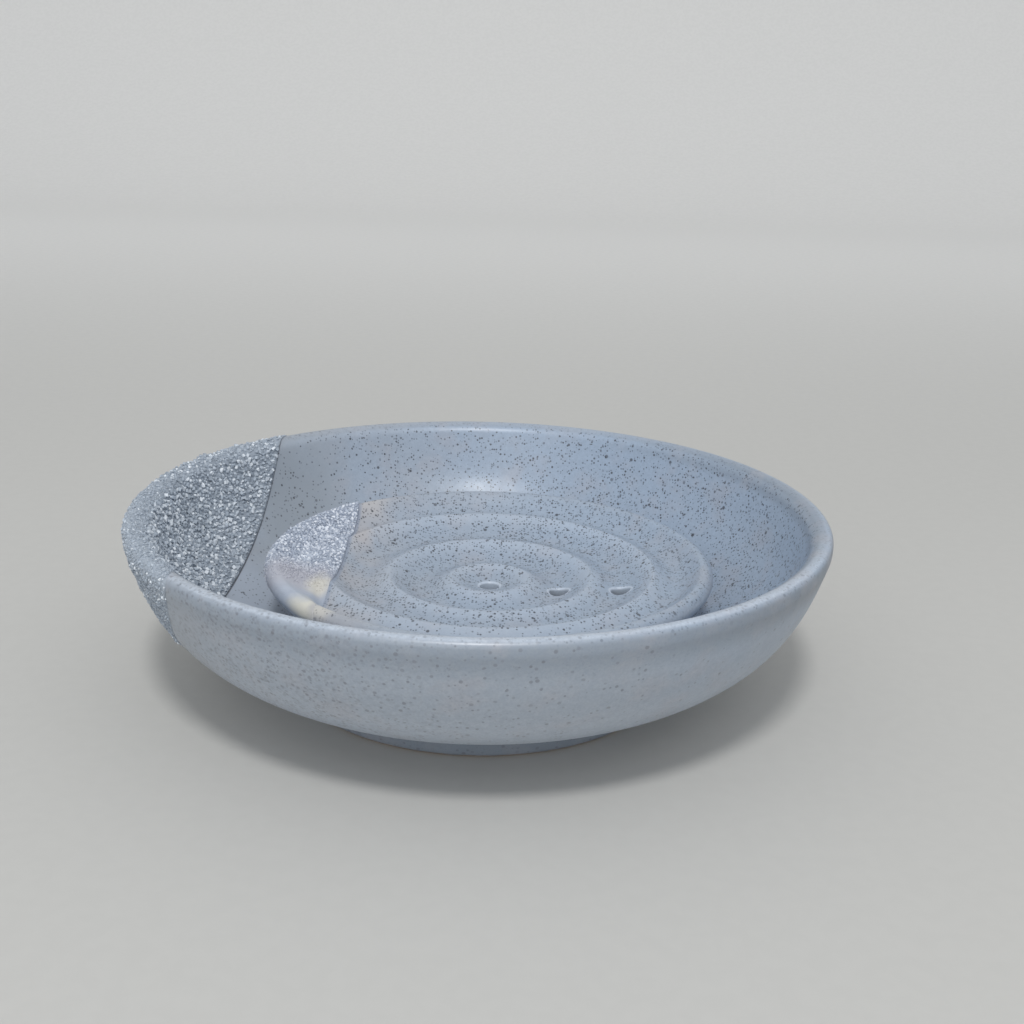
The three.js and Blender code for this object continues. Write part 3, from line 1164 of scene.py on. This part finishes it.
@dataclass
class DrainPlate:
    """The loose plate that carries the soap, with rings and a row of drain holes.

    Attributes:
        seat: The height of the bowl's floor that it stands on.
        shift: Sideways from the bowl's axis, as the loose plate lies.
        seat_gap: Between its foot and the bowl's floor.
        diameter: Over the lip.
        height: From its foot to the top of the lip.
        lip: Thickness of the rounded lip.
        dish: How much the middle lies below the lip.
        floor: Least thickness, under the grooves.
        foot_diameter: Where it stands.
        foot_width: Width of the foot ring.
        belly_rise: Degrees above level, where the wall leaves the foot.
        wall_lean: Degrees off plumb, just under the lip.
        ring_count: How many rings it has.
        first_ring: Radius of the innermost crest.
        ring_spacing: From crest to crest.
        ring_depth: From a crest down to the groove beside it.
        ring_form: 1 for sharp crests between round grooves, 2 for an even wave.
        centre_dip: From the innermost crest down to the middle.
        hole_diameter: Of each drain hole, as the glaze leaves it.
        hole_easing: Radius of the rounding at the top of a hole.
        hole_row: Degrees from +X.
        piece: The piece that it makes.
    """

    seat: float
    shift: float = 1.9 * MM
    seat_gap: float = 0.3 * MM
    diameter: float = 84.6 * MM
    height: float = 15 * MM
    lip: float = 3.6 * MM
    dish: float = 4.8 * MM
    floor: float = 3.5 * MM
    foot_diameter: float = 63 * MM
    foot_width: float = 3.5 * MM
    belly_rise: float = 16.0
    wall_lean: float = 28.0
    ring_count: int = 3
    first_ring: float = 7.6 * MM
    ring_spacing: float = 11.75 * MM
    ring_depth: float = 2.2 * MM
    ring_form: float = 1.2
    centre_dip: float = 2 * MM
    hole_diameter: float = 3.6 * MM
    hole_easing: float = 0.5 * MM
    hole_row: float = -9.0
    piece: Piece = Piece("drain_plate_glazed", Body.PLATE, Slot.GLAZE, "drain_plate")

    @property
    def wheel(self) -> Wheel:
        """The wheel that the plate is turned on."""
        return Wheel(centre=Vector((self.shift, 0.0, self.seat + self.seat_gap)), steps=288)

    @property
    def grit_edge(self) -> StraightEdge:
        """The edge of the plate's grit."""
        return StraightEdge(wheel=self.wheel, distance=28.8 * MM, angle=180.0, tilt=0.0, height=self.height)

    def rolled_lip(self) -> Outline:
        """Draws the lip from the wall over its top, until it has the slope of the dish that it meets.

        Returns:
            The outline as radius and height over the foot.
        """
        centre = Vector((self.diameter / 2 - self.lip / 2, self.height - self.lip / 2))
        slope = math.atan(2 * self.dish / centre.x)
        return arc(centre, self.lip / 2, -math.radians(self.wall_lean), math.pi / 2 + slope, 16)

    @property
    def rim(self) -> Vector:
        """Where the lip ends and the dish begins."""
        return self.rolled_lip()[-1]

    def crest_height(self, radius: float) -> float:
        """Gives the height of the dish that the crests of the rings touch."""
        return self.rim.y - self.dish * (1 - (radius / self.rim.x) ** 2)

    def underside(self, radius: float) -> float:
        """Gives the height of the plate's underside."""
        return self.crest_height(radius) - self.ring_depth - self.floor

    @property
    def crests(self) -> list[float]:
        """The radii of the crests, from the innermost ring to the rim."""
        return [*(self.first_ring + i * self.ring_spacing for i in range(self.ring_count)), self.rim.x]

    def surface(self, radius: float) -> float:
        """Finds the height of the plate's top.

        Args:
            radius: Distance from the plate's axis.

        Returns:
            The height over its foot.
        """
        if radius <= self.first_ring:
            share = 1 - radius / self.first_ring
            dip = self.centre_dip * math.sin(math.pi / 2 * share) ** self.ring_form
            return self.crest_height(self.first_ring) - dip
        for inner, outer in zip(self.crests, self.crests[1:]):
            if radius <= outer:
                share = min(max((radius - inner) / (outer - inner), 0.0), 1.0)
                return self.crest_height(radius) - self.ring_depth * math.sin(math.pi * share) ** self.ring_form
        return self.rim.y

    @property
    def hole_radius(self) -> float:
        """Radius of a drain hole."""
        return self.hole_diameter / 2

    def wall(self) -> Outline:
        """Draws the outside wall from the foot to the lip.

        Returns:
            The outline as radius and height over the foot.
        """
        foot = self.foot_diameter / 2
        start = Vector((foot, self.underside(foot)))
        return wall_outside(start, self.rolled_lip()[0], self.belly_rise, self.wall_lean, 24)

    def top(self, inmost: float) -> Outline:
        """Draws the top from the rim inwards.

        Args:
            inmost: The radius to stop at.

        Returns:
            The outline, without the rim itself.
        """
        steps = round((self.rim.x - inmost) / (0.36 * MM))
        radii = [self.rim.x + (inmost - self.rim.x) * (i + 1) / steps for i in range(steps)]
        return [Vector((radius, self.surface(radius))) for radius in radii]

    def skin(self, distance: float) -> Outline:
        """Draws wall, lip and the outer part of the top.

        Args:
            distance: How far off the plate to draw it.

        Returns:
            The outline as radius and height over the foot.
        """
        outline = [*self.wall()[1:-1], *self.rolled_lip(), *self.top(24 * MM)]
        return moved_sideways(outline, distance)

    def groove_fill(self, place: Vector) -> float:
        """Tells how much the grit's bed fills the outer groove at a place on the plate's top.

        Args:
            place: Where to look.

        Returns:
            How much thicker the bed is there, less and less towards its edge.
        """
        radius = self.wheel.radius_of(place)
        if radius > self.rim.x or place.z < self.wheel.centre.z + self.surface(radius) - self.floor / 2:
            return 0.0
        depth = self.crest_height(radius) - self.surface(radius)
        return 0.5 * depth * eased(self.grit_edge.beyond(place), 0.0, 3 * MM)

    def bore(self, start: Vector, end: float) -> Outline:
        """Draws a hole's rounded edge and its wall, from the top down.

        Args:
            start: Where the rounding begins.
            end: Height of the underside.

        Returns:
            The outline, without its start.
        """
        ease = self.hole_easing
        centre = Vector((start.x, start.y - ease))
        edge = arc(centre, ease, math.pi / 2, math.pi, 5)[1:]
        bottom = Vector((self.hole_radius, end + 0.4 * MM))
        return [*edge, *in_steps(edge[-1], bottom, 4), Vector((self.hole_radius + 0.4 * MM, end))]

    def build(self) -> bmesh.types.BMesh:
        """Turns the plate, rounds its foot and pierces its holes.

        Returns:
            The plate's mesh.
        """
        foot = self.foot_diameter / 2
        inner = foot - self.foot_width
        eased_radius = self.hole_radius + self.hole_easing
        top = self.top(eased_radius)
        down = self.bore(top[-1], self.underside(0.0))
        reach = down[-1].x
        below = [reach + (inner - reach) * i / 70 for i in range(1, 71)]
        corners = {
            Vector((inner, self.underside(inner))).freeze(): 1.0 * MM,
            Vector((inner, 0.0)).freeze(): 0.7 * MM,
            Vector((foot, 0.0)).freeze(): 0.7 * MM,
            self.wall()[0].freeze(): 0.8 * MM,
        }
        above, inside_foot, under_foot, shoulder = corners
        outline = [
            *(Vector((radius, self.underside(radius))) for radius in below),
            *in_steps(above, inside_foot, 3),
            *in_steps(inside_foot, under_foot, 3),
            *in_steps(under_foot, shoulder, 3),
            *self.wall()[1:-1],
            *self.rolled_lip(),
            *top,
            *down,
        ]
        shape = self.wheel.throw(outline, closed=True)
        for corner, size in corners.items():
            self.wheel.round_off(shape, corner, size)
        for place in self.hole_places()[1:]:
            self.pierce(shape, place)
        bmesh.ops.recalc_face_normals(shape, faces=shape.faces)
        mark_outside(shape, self.wheel, self.lip_level, 0.25)
        return shape

    @property
    def lip_level(self) -> float:
        """The height of the lip's top in the dish's frame."""
        return self.wheel.centre.z + self.height

    def hole_places(self) -> list[Vector]:
        """Places a drain hole in the middle and one in each groove between the rings."""
        radii = [0.0, *(crest + self.ring_spacing / 2 for crest in self.crests[:-2])]
        return [self.wheel.place(Vector((radius, 0.0)), math.radians(self.hole_row)) for radius in radii]

    def pierce(self, shape: bmesh.types.BMesh, centre: Vector) -> None:
        """Makes one drain hole away from the middle.

        Args:
            shape: The plate's mesh.
            centre: The foot of the hole's axis.
        """
        middle = centre.z + self.surface(self.wheel.radius_of(centre)) - self.floor / 2
        wide = self.hole_radius + self.hole_easing
        upper = self.opened(shape, centre, wide, lambda place: place.z > middle, self.surface)
        lower = self.opened(
            shape, centre, self.hole_radius + 0.4 * MM, lambda place: place.z < middle, self.underside
        )
        for i in range(1, 6):
            angle = math.pi / 2 * i / 5
            reach = self.hole_radius + self.hole_easing * (1 - math.sin(angle))
            drop = self.hole_easing * (1 - math.cos(angle))
            upper = bmesh.ops.extrude_edge_only(shape, edges=upper)["geom"]
            for vert in (v for v in upper if isinstance(v, bmesh.types.BMVert)):
                side = (vert.co - centre).to_2d().normalized()
                start = centre + (wide * side).to_3d()
                vert.co = centre + (reach * side).to_3d()
                vert.co.z = centre.z + self.surface(self.wheel.radius_of(start)) - drop
            upper = [e for e in upper if isinstance(e, bmesh.types.BMEdge)]
        bmesh.ops.bridge_loops(shape, edges=[*upper, *lower])

    def opened(
        self,
        shape: bmesh.types.BMesh,
        centre: Vector,
        reach: float,
        side: Callable[[Vector], bool],
        level: Callable[[float], float],
    ) -> list[bmesh.types.BMEdge]:
        """Opens one face of the plate in a circle.

        Args:
            shape: The plate's mesh.
            centre: The hole's axis.
            reach: The circle's radius.
            side: Tells whether a place belongs to that face of the plate.
            level: Height of that face over the plate's foot, by radius.

        Returns:
            The edges round the opening.
        """
        gone = [v for v in shape.verts if side(v.co) and (v.co - centre).to_2d().length < reach]
        ring = {v for face in {f for v in gone for f in v.link_faces} for v in face.verts} - set(gone)
        bmesh.ops.delete(shape, geom=gone, context="VERTS")
        for vert in ring:
            place = centre + (reach * (vert.co - centre).to_2d().normalized()).to_3d()
            place.z = centre.z + level(self.wheel.radius_of(place))
            vert.co = place
        return [e for e in shape.edges if e.is_boundary and e.verts[0] in ring and e.verts[1] in ring]

    def dress(self) -> bpy.types.Object:
        """Makes the glazed plate.

        Returns:
            The finished piece.
        """
        glaze = SpeckledGlaze(
            name="plate_glaze",
            foot_level=self.wheel.centre.z,
            lip_level=self.lip_level,
            lip_radius=self.rim.x,
            lip_highlight=0.1,
            face_shading=0.0,
            seam=self.grit_edge,
            seam_colour=srgb("7f8ea6"),
            seam_strength=0.55,
            seam_width=0.8 * MM,
            seam_end=1.2 * MM,
            halo=srgb("b3b0b2"),
            halo_width=14 * MM,
            few=0.60,
            many=0.58,
            front_share=0.2,
            axis=self.wheel.centre,
            crests=tuple(self.crests[:-1]),
            holes=tuple(self.hole_places()),
            hole_radius=self.hole_radius,
            blushes=(
                Blush(Vector((-25.6, 31.0, 23.6)) * MM, Vector((1.0, 0.8, 1.0)), 5.5 * MM, srgb("b6b4b5")),
                Blush(Vector((-25.0, 17.0, 21.4)) * MM, Vector((1.4, 0.6, 1.0)), 4.5 * MM, srgb("b1aeb0")),
                Blush(Vector((-25.5, -30.0, 23.4)) * MM, Vector((0.6, 1.0, 1.6)), 3.4 * MM, srgb("ccc9c1")),
            ),
        )
        return self.piece.add(self.build(), glaze, lambda face: False)


@dataclass(frozen=True)
class Spread:
    """How grit lies at one place.

    Attributes:
        share: How many of the places hold a grain.
        scale: How large the grains are.
        dull: The shade of the dullest grain.
        bright: The shade of the brightest grain.
        sparkle: How many of the grains are white.
        bed: The shade of the bed between them.
        thickness: The thickness of that bed, in metres.
        lumps: How far lumps of it stand out, in metres.
    """

    share: float
    scale: float
    dull: float
    bright: float
    sparkle: float
    bed: float
    thickness: float
    lumps: float

    def shade(self, chance: random.Random) -> float:
        """Picks a grain's shade.

        Args:
            chance: Where the draws come from.

        Returns:
            The shade, from 0 to 1.
        """
        if chance.random() < self.sparkle:
            return 1.0
        return self.dull + (self.bright - self.dull) * chance.random() ** 1.5


@dataclass
class GritPatch:
    """Grains fired onto a pot beyond a straight edge, in a thin bed.

    Attributes:
        piece: The piece that it makes.
        finish: What it looks like.
        edge: The edge that it stops at.
        skin: Draws the pot's surface at a distance.
        sector: Half the angle that the patch spans, in degrees.
        unevenness: How much the bed's thickness varies.
        sizes: Least and greatest radius of a grain.
        flatness: Height of a grain against its width.
        stretch: How much longer than wide a grain may be.
        broken: How many of the grains are square crystals; the others are rounder.
        spread: Tells how the grains lie, by place and by the way the wall faces.
        fill: Gives how much thicker the bed is at a place.
        seed: Picks one of many scatters.
        sink: How deep in the wall the bed starts.
        steps: How many steps the bed is turned in.
        tries: How many places are tried for a grain.
        handful: How many grains are set at a time.
    """

    piece: Piece
    finish: Grit
    edge: StraightEdge
    skin: Callable[[float], Outline]
    sector: float
    unevenness: float
    sizes: tuple[float, float]
    flatness: float
    stretch: float
    broken: float
    spread: Callable[[Vector, Vector], Spread]
    fill: Callable[[Vector], float]
    seed: int
    sink: float = 0.1 * MM
    steps: int = 130
    tries: int = 60_000
    handful: int = 120

    def build_bed(self) -> bmesh.types.BMesh:
        """Makes the thin layer between the grains.

        Returns:
            The bed's mesh.
        """
        turn, half = math.radians(self.edge.angle), math.radians(self.sector)
        outline = self.skin(-self.sink)
        sheet = self.edge.wheel.sweep(outline, turn - half, turn + half, self.steps)
        self.edge.cut(sheet)
        lowest = min(sheet.faces, key=lambda face: face.calc_center_median().z)
        if lowest.normal.z > 0:
            bmesh.ops.reverse_faces(sheet, faces=sheet.faces)
        shade = sheet.verts.layers.float.new(Trace.SHADE.value)
        raised = bmesh.ops.extrude_face_region(sheet, geom=sheet.faces[:], use_keep_orig=True)["geom"]
        sheet.normal_update()
        tops = [(v, v.normal.copy()) for v in raised if isinstance(v, bmesh.types.BMVert)]
        for vert, out in tops:
            away = vert.co - self.edge.wheel.centre
            away.z = 0.0
            lie = self.spread(vert.co, Vector((out.dot(away.normalized()), out.z)))
            bump = noise.noise(vert.co * (1 / (1.1 * MM))) + 0.5 * noise.noise(vert.co * (1 / (0.6 * MM)))
            vert[shade] = lie.bed + 0.1 * bump
            vert.co += out * (self.rise(vert.co, lie) + lie.thickness * self.unevenness * bump + self.sink)
        bmesh.ops.recalc_face_normals(sheet, faces=sheet.faces)
        return sheet

    def rise(self, place: Vector, lie: Spread) -> float:
        """Gives the height of the bed's top over the wall.

        Args:
            place: Where to look.
            lie: How the grit lies there.

        Returns:
            The height in metres, with lumps and filled grooves.
        """
        lump = max(noise.noise(place * (1 / (2.2 * MM))), 0.0)
        return lie.thickness + lie.lumps * lump + self.fill(place)

    def scatter(self) -> Iterator[tuple[Vector, Vector, float, Spread]]:
        """Finds places for the grains, large ones first and smaller ones in the gaps between them.

        Yields:
            Each grain's place on the bed, the way out of the wall there, its radius and how the grit lies there.
        """
        chance = random.Random(self.seed)
        outline = self.skin(0.0)
        runs = list(zip(outline, outline[1:]))
        weights = [(a - b).length * (a.x + b.x) for a, b in runs]
        turn, half = math.radians(self.edge.angle), math.radians(self.sector)
        smallest, largest = self.sizes
        taken: dict[tuple[int, int, int], list[tuple[Vector, float]]] = {}
        for tried, (start, end) in enumerate(chance.choices(runs, weights, k=self.tries)):
            angle = turn + half * chance.uniform(-1, 1)
            point = start.lerp(end, chance.random())
            along = (end - start).normalized()
            place = self.edge.wheel.place(point, angle)
            facing = Vector((along.y, -along.x))
            lie = self.spread(place, facing)
            radius = (largest - (largest - smallest) * (tried / self.tries) ** 0.3) * lie.scale
            if chance.random() > lie.share or self.edge.beyond(place) < 0.7 * radius:
                continue
            cell = tuple(math.floor(c / (2 * largest)) for c in place)
            around = [tuple(map(sum, zip(cell, step))) for step in product((-1, 0, 1), repeat=3)]
            others = [other for near in around for other in taken.get(near, [])]
            if any((place - centre).length < 0.8 * (radius + size) for centre, size in others):
                continue
            taken.setdefault(cell, []).append((place, radius))
            out = Vector((facing.x * math.cos(angle), facing.x * math.sin(angle), facing.y))
            yield place + out * self.rise(place, lie), out, radius, lie

    def add_grains(self, shape: bmesh.types.BMesh) -> None:
        """Sets the grains into the bed.

        Args:
            shape: The bed's mesh, which takes them up.
        """
        chance = random.Random(self.seed + 1)
        grains = list(self.scatter())
        for first in range(0, len(grains), self.handful):
            handful = bmesh.new()
            shade = handful.verts.layers.float.new(Trace.SHADE.value)
            for place, out, radius, lie in grains[first : first + self.handful]:
                spin = Euler([chance.uniform(0, math.tau) for _ in range(3)]).to_matrix().to_4x4()
                longer = chance.uniform(1.0, self.stretch)
                size = Vector((longer, 1 / longer, self.flatness)) * radius
                lay = Matrix.Rotation(chance.uniform(0, math.tau), 4, "Z")
                stand = out.to_track_quat("Z", "Y").to_matrix().to_4x4()
                centre = Matrix.Translation(place + out * (0.2 * radius * self.flatness))
                matrix = centre @ stand @ lay @ Matrix.Diagonal((*size, 1.0)) @ spin
                if chance.random() < self.broken:
                    made = bmesh.ops.create_cube(handful, size=1.4, matrix=matrix)
                else:
                    made = bmesh.ops.create_icosphere(handful, subdivisions=1, radius=1.0, matrix=matrix)
                tone = lie.shade(chance)
                for vert in made["verts"]:
                    vert[shade] = tone
                    vert.co += (vert.co - centre.translation) * chance.uniform(-0.3, 0.2)
            grain_mesh = bpy.data.meshes.new("handful")
            handful.to_mesh(grain_mesh)
            handful.free()
            shape.from_mesh(grain_mesh)
            bpy.data.meshes.remove(grain_mesh)
        log.info("%s: %d grains", self.piece.name, len(grains))

    def dress(self) -> bpy.types.Object:
        """Makes the patch.

        Returns:
            The finished piece.
        """
        shape = self.build_bed()
        bed_faces = len(shape.faces)
        self.add_grains(shape)
        shape.faces.index_update()
        return self.piece.add(shape, self.finish, lambda face: face.index >= bed_faces)


@dataclass(frozen=True)
class Lamp:
    """A soft round lamp that points at the dish.

    Attributes:
        name: What it is called.
        place: Where it hangs.
        size: How wide it is.
        watts: How strong it is.
    """

    name: str
    place: Vector
    size: float
    watts: float

    def hang(self) -> None:
        """Hangs the lamp."""
        lamp = bpy.data.lights.new(self.name, "AREA")
        lamp.shape = "DISK"
        lamp.size = self.size
        lamp.energy = self.watts
        hung = bpy.data.objects.new(self.name, lamp)
        aim = self.place.to_track_quat("Z", "Y").to_matrix().to_4x4()
        hung.matrix_world = Matrix.Translation(self.place) @ aim
        bpy.context.scene.collection.objects.link(hung)


@dataclass
class Studio:
    """Camera, ground and light.

    Attributes:
        eye: Where the camera is.
        pitch: Degrees that it looks down.
        yaw: Degrees that it is turned to the left.
        roll: Degrees that it is turned about its view.
        focal_pixels: Its focal length in pixels of the picture.
        sensor: The width of its picture plane, in millimetres.
        ground_width: From side to side.
        ground_front: Where the ground ends in front.
        ground_back: Where it stands upright behind.
        ground_turn: Radius over which it curves up.
        ground_height: How far up it reaches.
        room_colour: The colour of the even light all round.
        room_strength: How strong that is.
        lamps: The lamps.
    """

    eye: Vector = field(default_factory=lambda: Vector((8.635, -237.599, 109.392)) * MM)
    pitch: float = 17.911
    yaw: float = 0.677
    roll: float = -1.633
    focal_pixels: float = 1322.35
    sensor: float = 36.0
    ground_width: float = 4.0
    ground_front: float = -1.6
    ground_back: float = 1.3
    ground_turn: float = 0.4
    ground_height: float = 2.0
    room_colour: Colour = (0.93, 0.96, 1.0, 1.0)
    room_strength: float = 0.66
    lamps: tuple[Lamp, ...] = (
        Lamp("high_lamp", Vector((0.0, -0.61, 0.98)), 0.18, 5.3),
        Lamp("low_lamp", Vector((-0.33, -1.21, 0.35)), 0.9, 2.7),
    )

    def add_camera(self) -> None:
        """Sets up the camera."""
        pitch, yaw, roll = (math.radians(a) for a in (self.pitch, self.yaw, self.roll))
        right = Vector((math.cos(yaw), math.sin(yaw), 0.0))
        forward = Vector((-math.sin(yaw) * math.cos(pitch), math.cos(yaw) * math.cos(pitch), -math.sin(pitch)))
        down = forward.cross(right)
        level = math.cos(roll) * right + math.sin(roll) * down
        upward = math.sin(roll) * right - math.cos(roll) * down
        lens = bpy.data.cameras.new("camera")
        lens.sensor_width = self.sensor
        lens.lens = self.sensor * self.focal_pixels / PICTURE_WIDTH
        lens.clip_start = 0.01
        camera = bpy.data.objects.new("camera", lens)
        camera.matrix_world = Matrix.Translation(self.eye) @ Matrix((level, upward, -forward)).transposed().to_4x4()
        bpy.context.scene.collection.objects.link(camera)
        bpy.context.scene.camera = camera

    def add_ground(self) -> None:
        """Lays the ground, which curves up far behind the dish."""
        shape = bmesh.new()
        centre = Vector((self.ground_back - self.ground_turn, self.ground_turn))
        turn = arc(centre, self.ground_turn, -math.pi / 2, 0.0, 16)
        side = [Vector((self.ground_front, 0.0)), *turn, Vector((self.ground_back, self.ground_height))]
        verts = [shape.verts.new((-self.ground_width / 2, point.x, point.y)) for point in side]
        edges = [shape.edges.new(pair) for pair in zip(verts, verts[1:])]
        drawn = bmesh.ops.extrude_edge_only(shape, edges=edges)["geom"]
        far_side = [v for v in drawn if isinstance(v, bmesh.types.BMVert)]
        bmesh.ops.translate(shape, vec=self.ground_width * RIGHT, verts=far_side)
        bmesh.ops.recalc_face_normals(shape, faces=shape.faces)
        if shape.faces[:][0].normal.z < 0:
            bmesh.ops.reverse_faces(shape, faces=shape.faces)
        for face in shape.faces:
            face.smooth = True
        mesh = bpy.data.meshes.new("ground")
        shape.to_mesh(mesh)
        shape.free()
        mesh.materials.append(PaleGround().material())
        ground = bpy.data.objects.new("ground", mesh)
        bpy.context.scene.collection.objects.link(ground)

    def add_sky(self) -> None:
        """Fills the room with even light."""
        world = bpy.data.worlds.new("room")
        world.use_nodes = True
        background = world.node_tree.nodes["Background"]
        background.inputs["Color"].default_value = self.room_colour
        background.inputs["Strength"].default_value = self.room_strength
        bpy.context.scene.world = world

    def set_up(self) -> None:
        """Sets up the whole studio."""
        bpy.context.scene.view_settings.view_transform = "Standard"
        self.add_camera()
        self.add_ground()
        self.add_sky()
        for lamp in self.lamps:
            lamp.hang()


def bowl_spread(place: Vector, facing: Vector) -> Spread:
    """Spreads the bowl's grains: coarse inside, rubbed down over the lip, and low under glaze outside.

    Args:
        place: Where a grain would lie.
        facing: The way the wall faces, outwards and up.

    Returns:
        How the grit lies there.
    """
    outside = eased(facing.x, 0.0, 0.6)
    top = eased(facing.y, 0.3, 0.8) * eased(place.z, 30.5 * MM, 32.5 * MM)
    worn_and_sheen = top * (0.4 + 0.6 * eased(place.y, 18 * MM, -6 * MM))
    low = outside * (1 - worn_and_sheen)
    coarse = (1 - outside) * (1 - worn_and_sheen)
    return Spread(
        share=coarse + 0.9 * worn_and_sheen + 0.75 * low,
        scale=1.0 * coarse + 0.56 * worn_and_sheen + 0.58 * low,
        dull=0.25 * coarse + 0.22 * worn_and_sheen + 0.2 * low,
        bright=0.95 * coarse + 0.7 * worn_and_sheen + 0.5 * low,
        sparkle=0.10 * coarse + 0.03 * worn_and_sheen + 0.05 * low,
        bed=0.2 * coarse + 0.28 * worn_and_sheen + 0.26 * low,
        thickness=(0.28 * coarse + 0.05 * worn_and_sheen + 0.04 * low) * MM,
        lumps=(top * (0.35 + 0.65 * eased(place.y, 0.0, 22 * MM)) + 0.3 * low) * MM,
    )


def plate_spread(place: Vector, facing: Vector) -> Spread:
    """Spreads the plate's grains, which fade out towards the front.

    Args:
        place: Where a grain would lie.
        facing: The way the wall faces, outwards and up.

    Returns:
        How the grit lies there.
    """
    fade = eased(place.y, -17 * MM, -2 * MM)
    outside = eased(facing.x, 0.2, 0.8)
    gritty = fade * (1 - 0.7 * outside)
    return Spread(
        share=gritty,
        scale=0.5 + 0.5 * gritty,
        dull=0.25,
        bright=0.95,
        sparkle=0.12,
        bed=0.4 - 0.25 * gritty,
        thickness=(0.03 + 0.2 * gritty) * MM,
        lumps=0.25 * eased(place.y, -24 * MM, -10 * MM) * MM,
    )


def bowl_grit(bowl: CatchBowl) -> GritPatch:
    """Plans the coarse patch on the bowl.

    Args:
        bowl: The bowl that carries it.

    Returns:
        The patch, still to be made.
    """
    return GritPatch(
        piece=Piece("bowl_grit_grains", Body.BOWL, Slot.GRIT, "bowl_grit"),
        finish=Grit("bowl_grit"),
        edge=bowl.grit_edge,
        skin=bowl.skin,
        sector=46.0,
        unevenness=0.4,
        sizes=(0.22 * MM, 0.68 * MM),
        flatness=0.85,
        stretch=1.35,
        broken=0.6,
        spread=bowl_spread,
        fill=lambda place: 0.0,
        seed=11,
    )


def plate_grit(plate: DrainPlate) -> GritPatch:
    """Plans the finer patch on the plate, which runs out in cream glaze.

    Args:
        plate: The plate that carries it.

    Returns:
        The patch, still to be made.
    """
    return GritPatch(
        piece=Piece("plate_grit_grains", Body.PLATE, Slot.GRIT, "plate_grit"),
        finish=Grit(
            "plate_grit",
            gap=srgb("8f98a8"),
            middle=srgb("b1bac8"),
            bright=srgb("e3e8f0"),
            rough=0.45,
            blushes=(
                Blush(Vector((-33.0, -12.0, 22.5)) * MM, Vector((0.8, 0.8, 0.8)), 9 * MM, srgb("b3b3bc")),
                # Bluish painted shade along the grit's edge.
                Blush(Vector((-27.4, -23.5, 22.4)) * MM, Vector((1.2, 0.5, 1.0)), 4 * MM, srgb("9ea8b8")),
                Blush(Vector((-28.4, -28.3, 23.0)) * MM, Vector((0.7, 0.8, 2.0)), 5.6 * MM, srgb("dcd8c9")),
                Blush(Vector((-28.9, -13.4, 21.8)) * MM, Vector((1.2, 0.55, 1.0)), 3.8 * MM, srgb("cfccc2")),
                # Bluish painted shade along the grit's edge.
                Blush(Vector((-26.6, -21.5, 21.2)) * MM, Vector((1.4, 0.4, 0.4)), 3.0 * MM, srgb("9aa4b4")),
                Blush(Vector((-26.6, -29.5, 23.0)) * MM, Vector((1.2, 0.5, 0.5)), 2.4 * MM, srgb("b4b3b4")),
            ),
        ),
        edge=plate.grit_edge,
        skin=plate.skin,
        sector=48.0,
        unevenness=0.3,
        sizes=(0.18 * MM, 0.5 * MM),
        flatness=0.8,
        stretch=1.4,
        broken=0.4,
        spread=plate_spread,
        fill=plate.groove_fill,
        seed=23,
    )


def main() -> None:
    """Builds the studio and the dish, and notes how large it came out."""
    logging.basicConfig(level=logging.INFO, format="%(message)s")
    Studio().set_up()
    bowl = CatchBowl()
    plate = DrainPlate(seat=bowl.floor_top)
    for part in (bowl, plate, bowl_grit(bowl), plate_grit(plate)):
        made = part.dress()
        triangles = sum(len(polygon.vertices) - 2 for polygon in made.data.polygons)
        log.info("%s: %d triangles, rides on %s", made.name, triangles, part.piece.body.value)


if __name__ == "__main__":
    main()
